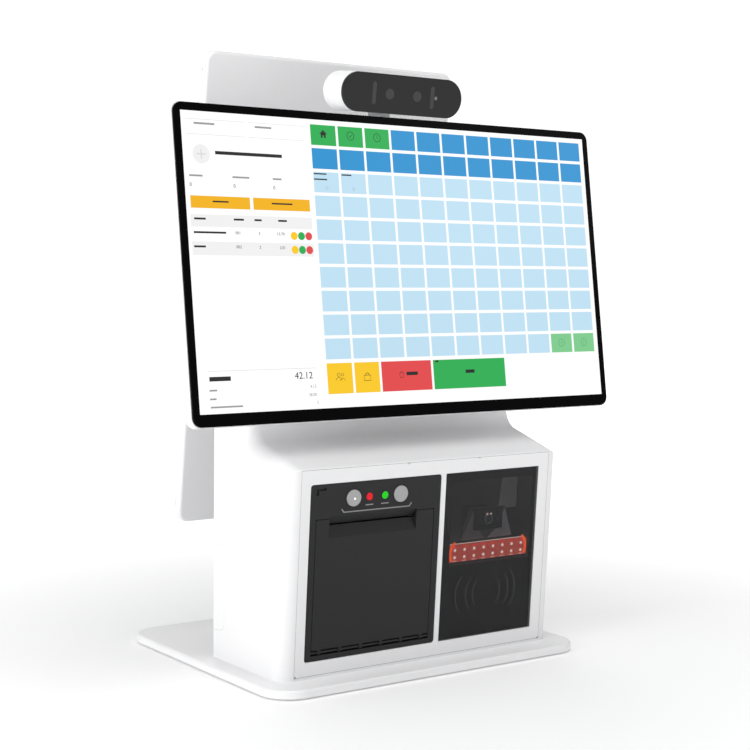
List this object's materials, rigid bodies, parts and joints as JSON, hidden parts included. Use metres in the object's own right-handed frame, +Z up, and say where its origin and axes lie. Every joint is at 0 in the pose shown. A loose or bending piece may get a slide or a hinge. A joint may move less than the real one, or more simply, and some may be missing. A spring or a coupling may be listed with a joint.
{
  "type": "self checkout kiosk",
  "caption": "Countertop self checkout kiosk: tilting touch display and camera on a pedestal with a receipt printer and a code scanner, and a portrait display facing back.",
  "frame": {"origin": "on the counter, under the centre of the base plate", "axes": "+Z up, -Y towards the customer, +X to the customer's right"},
  "size_m": [0.423, 0.252, 0.5093],
  "materials": {
    "white_plate": "white powder-coated steel plate",
    "pad_rubber": "black soft rubber",
    "screw_steel": "zinc-plated steel",
    "white_shell": "white moulded plastic, fine satin texture",
    "frame_steel": "galvanised sheet steel",
    "cast_block": "cast aluminium",
    "port_metal": "tin-plated steel socket shells",
    "inlet_plastic": "black moulded plastic",
    "board_green": "green circuit board",
    "supply_case": "folded aluminium case",
    "printer_black": "black satin moulded plastic",
    "shaft_steel": "ground steel",
    "printer_body_black": "black moulded plastic",
    "paper": "thermal paper",
    "card": "rolled card",
    "platen_rubber": "ground rubber",
    "gear_plastic": "natural acetal",
    "motor_steel": "plated steel can",
    "head_alloy": "extruded aluminium",
    "blade_steel": "hardened steel",
    "button_grey": "light grey moulded plastic",
    "red_lamp": "red lamp lens",
    "green_lamp": "green lamp lens",
    "trim_grey": "light grey print",
    "scanner_tint": "dark tinted window",
    "scanner_black": "black moulded plastic",
    "lens_glass": "coated lens",
    "reflector_grey": "grey light spreader",
    "red_diffuser": "red light spreader",
    "led_white": "red lamp domes",
    "display_glass": "cover glass with a black printed border",
    "display_panel": "lit display panel",
    "hinge_steel": "dark grey painted steel",
    "camera_tint": "dark tinted window"
  },
  "bodies": {
    "base": {"base_plate": "white_plate", "foot_pads": "pad_rubber", "base_screws": "screw_steel", "pedestal_shell": "white_shell", "front_frame": "white_shell", "upper_rear_cover": "white_shell", "steel_post": "frame_steel", "hinge_block": "cast_block", "io_panel": "frame_steel", "io_ports": "port_metal", "power_inlet": "inlet_plastic", "main_board": "board_green", "power_supply": "supply_case", "printer_fascia": "printer_black", "door_hinge_pin": "shaft_steel", "printer_body": "printer_body_black", "feed_motor": "motor_steel", "thermal_head": "head_alloy", "cutter_housing": "printer_body_black", "red_led": "red_lamp", "green_led": "green_lamp", "button_board": "board_green", "button_trim": "trim_grey", "scanner_glass": "scanner_tint", "scanner_mask": "scanner_black", "scan_housing": "scanner_black", "scan_engine": "scanner_black", "scan_lens": "lens_glass", "light_reflector": "reflector_grey", "red_light_bar": "red_diffuser", "scan_leds": "led_white", "reader_board": "board_green", "main_hinge_bracket": "hinge_steel", "rear_hinge_bracket": "hinge_steel", "hinge_pins": "shaft_steel", "bracket_screws": "screw_steel"},
    "customer_display": {"main_glass": "display_glass", "main_lcd": "display_panel", "main_case": "white_shell", "main_hinge_plate": "hinge_steel", "camera_arm": "white_plate"},
    "camera": {"camera_glass": "camera_tint", "camera_shell": "white_shell", "camera_optics": "lens_glass"},
    "rear_display": {"rear_glass": "display_glass", "rear_lcd": "display_panel", "rear_case": "white_shell", "rear_hinge_plate": "hinge_steel"},
    "printer_door": {"printer_door": "printer_black"},
    "platen": {"platen_roller": "platen_rubber", "platen_shaft": "shaft_steel", "platen_gear": "gear_plastic"},
    "drive_gear": {"drive_gear": "gear_plastic"},
    "motor_pinion": {"motor_pinion": "gear_plastic"},
    "paper_roll": {"paper_roll": "paper", "roll_core": "card"},
    "cutter_blade": {"cutter_blade": "blade_steel"},
    "feed_button": {"feed_button": "button_grey"},
    "open_button": {"open_button": "button_grey"},
    "cable_cover": {"cable_cover": "white_shell"}
  },
  "joints": [
    {"name": "customer_display_tilt", "type": "hinge", "parent": "base", "child": "customer_display", "pos_m": [0, -0.03929, 0.32686], "axis": [1, 0, 0], "range_deg": [-16.84, 8.16]},
    {"name": "camera_tilt", "type": "hinge", "parent": "customer_display", "child": "camera", "pos_m": [0, -0.02756, 0.47634], "axis": [1, 0, 0], "range_deg": [-20, 3]},
    {"name": "rear_display_tilt", "type": "hinge", "parent": "base", "child": "rear_display", "pos_m": [0, 0.04338, 0.3231], "axis": [1, 0, 0], "range_deg": [-6.77, 5.23]},
    {"name": "printer_door_hinge", "type": "hinge", "parent": "base", "child": "printer_door", "pos_m": [0, -0.09954, 0.02797], "axis": [1, 0, 0], "range_deg": [0, 80]},
    {"name": "platen_spin", "type": "hinge", "parent": "printer_door", "child": "platen", "pos_m": [0, -0.09296, 0.12111], "axis": [1, 0, 0], "continuous": true},
    {"name": "drive_gear_spin", "type": "hinge", "parent": "base", "child": "drive_gear", "pos_m": [0, -0.0762, 0.11993], "axis": [1, 0, 0], "continuous": true},
    {"name": "motor_pinion_spin", "type": "hinge", "parent": "base", "child": "motor_pinion", "pos_m": [0, -0.06663, 0.13069], "axis": [1, 0, 0], "continuous": true},
    {"name": "paper_roll_spin", "type": "hinge", "parent": "base", "child": "paper_roll", "pos_m": [0, -0.06759, 0.06399], "axis": [1, 0, 0], "continuous": true},
    {"name": "cutter_blade_slide", "type": "slide", "parent": "base", "child": "cutter_blade", "axis": [0, 0.0583, -0.9983], "range_m": [0, 0.003]},
    {"name": "feed_button_press", "type": "slide", "parent": "base", "child": "feed_button", "axis": [0, 0.9983, 0.0583], "range_m": [0, 0.0012], "stiffness_N_per_m": 500, "springref_m": -0.0006},
    {"name": "open_button_press", "type": "slide", "parent": "base", "child": "open_button", "axis": [0, 0.9983, 0.0583], "range_m": [0, 0.0012], "stiffness_N_per_m": 500, "springref_m": -0.0006},
    {"name": "cable_cover_pull", "type": "slide", "parent": "base", "child": "cable_cover", "axis": [0, 1, 0], "range_m": [0, 0.06]}
  ],
  "couplings": [
    {"joint": "drive_gear_spin", "follows": "platen_spin", "ratio": -0.75},
    {"joint": "motor_pinion_spin", "follows": "platen_spin", "ratio": 1.5}
  ]
}
